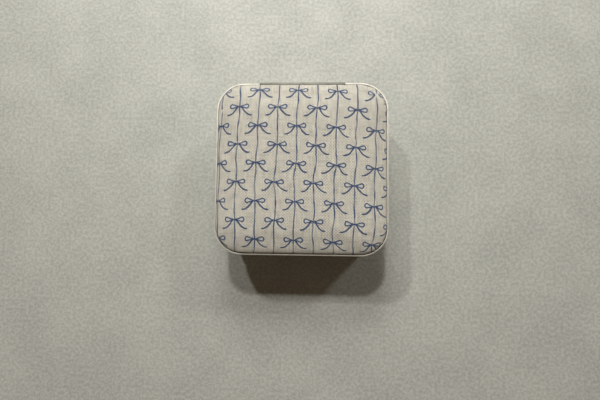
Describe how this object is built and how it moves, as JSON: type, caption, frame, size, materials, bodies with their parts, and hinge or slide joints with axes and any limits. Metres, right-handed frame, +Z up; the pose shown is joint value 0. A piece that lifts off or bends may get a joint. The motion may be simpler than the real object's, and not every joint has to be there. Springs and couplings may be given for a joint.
{
  "type": "hinged trinket box",
  "caption": "Square fabric-covered trinket box with rounded corners, a padded hinged lid with a mirror inside, ring pads and velvet compartments.",
  "frame": {"origin": "middle of the underside of the bottom pad, on the surface that the box stands on", "axes": "+Z up, +Y towards the hinge at the back, -Y towards the front, +X to the right seen from the front"},
  "size_m": [0.1, 0.1013, 0.0446],
  "materials": {
    "rim_metal": "satin champagne",
    "hinge_metal": "satin champagne plate",
    "steel": "plain ground",
    "printed_linen": "plain weave linen with a fine ribbon and bow print",
    "velvet": "short pile velvet",
    "velvet_pad": "short pile velvet over foam",
    "suede": "microfibre suede",
    "board": "raw fibreboard",
    "foam": "open-cell foam",
    "mirror": "silvered glass"
  },
  "bodies": {
    "base": {"base_wall": "board", "base_floor": "board", "base_cover": "printed_linen", "bottom_pad": "suede", "base_rim": "rim_metal", "base_lining": "velvet", "lining_floor": "velvet", "divider_long": "velvet", "divider_cross": "velvet", "ring_pad_1": "velvet_pad", "ring_pad_2": "velvet_pad", "ring_pad_3": "velvet_pad", "magnet_left": "steel", "magnet_right": "steel", "hinge_leaf_base": "hinge_metal", "hinge_pin": "steel", "base_rivet_1": "hinge_metal", "base_rivet_2": "hinge_metal", "base_rivet_3": "hinge_metal"},
    "lid": {"lid_board": "board", "lid_pad": "foam", "lid_cover": "printed_linen", "lid_rim": "rim_metal", "lid_lining": "velvet", "mirror": "mirror", "mirror_bezel": "rim_metal", "strike_left": "steel", "strike_right": "steel", "hinge_leaf_lid": "hinge_metal", "lid_rivet_1": "hinge_metal", "lid_rivet_2": "hinge_metal"}
  },
  "joints": [
    {"name": "lid_hinge", "type": "hinge", "parent": "base", "child": "lid", "pos_m": [0, 0.05, 0.035], "axis": [-1, 0, 0], "range_deg": [0, 95]}
  ]
}
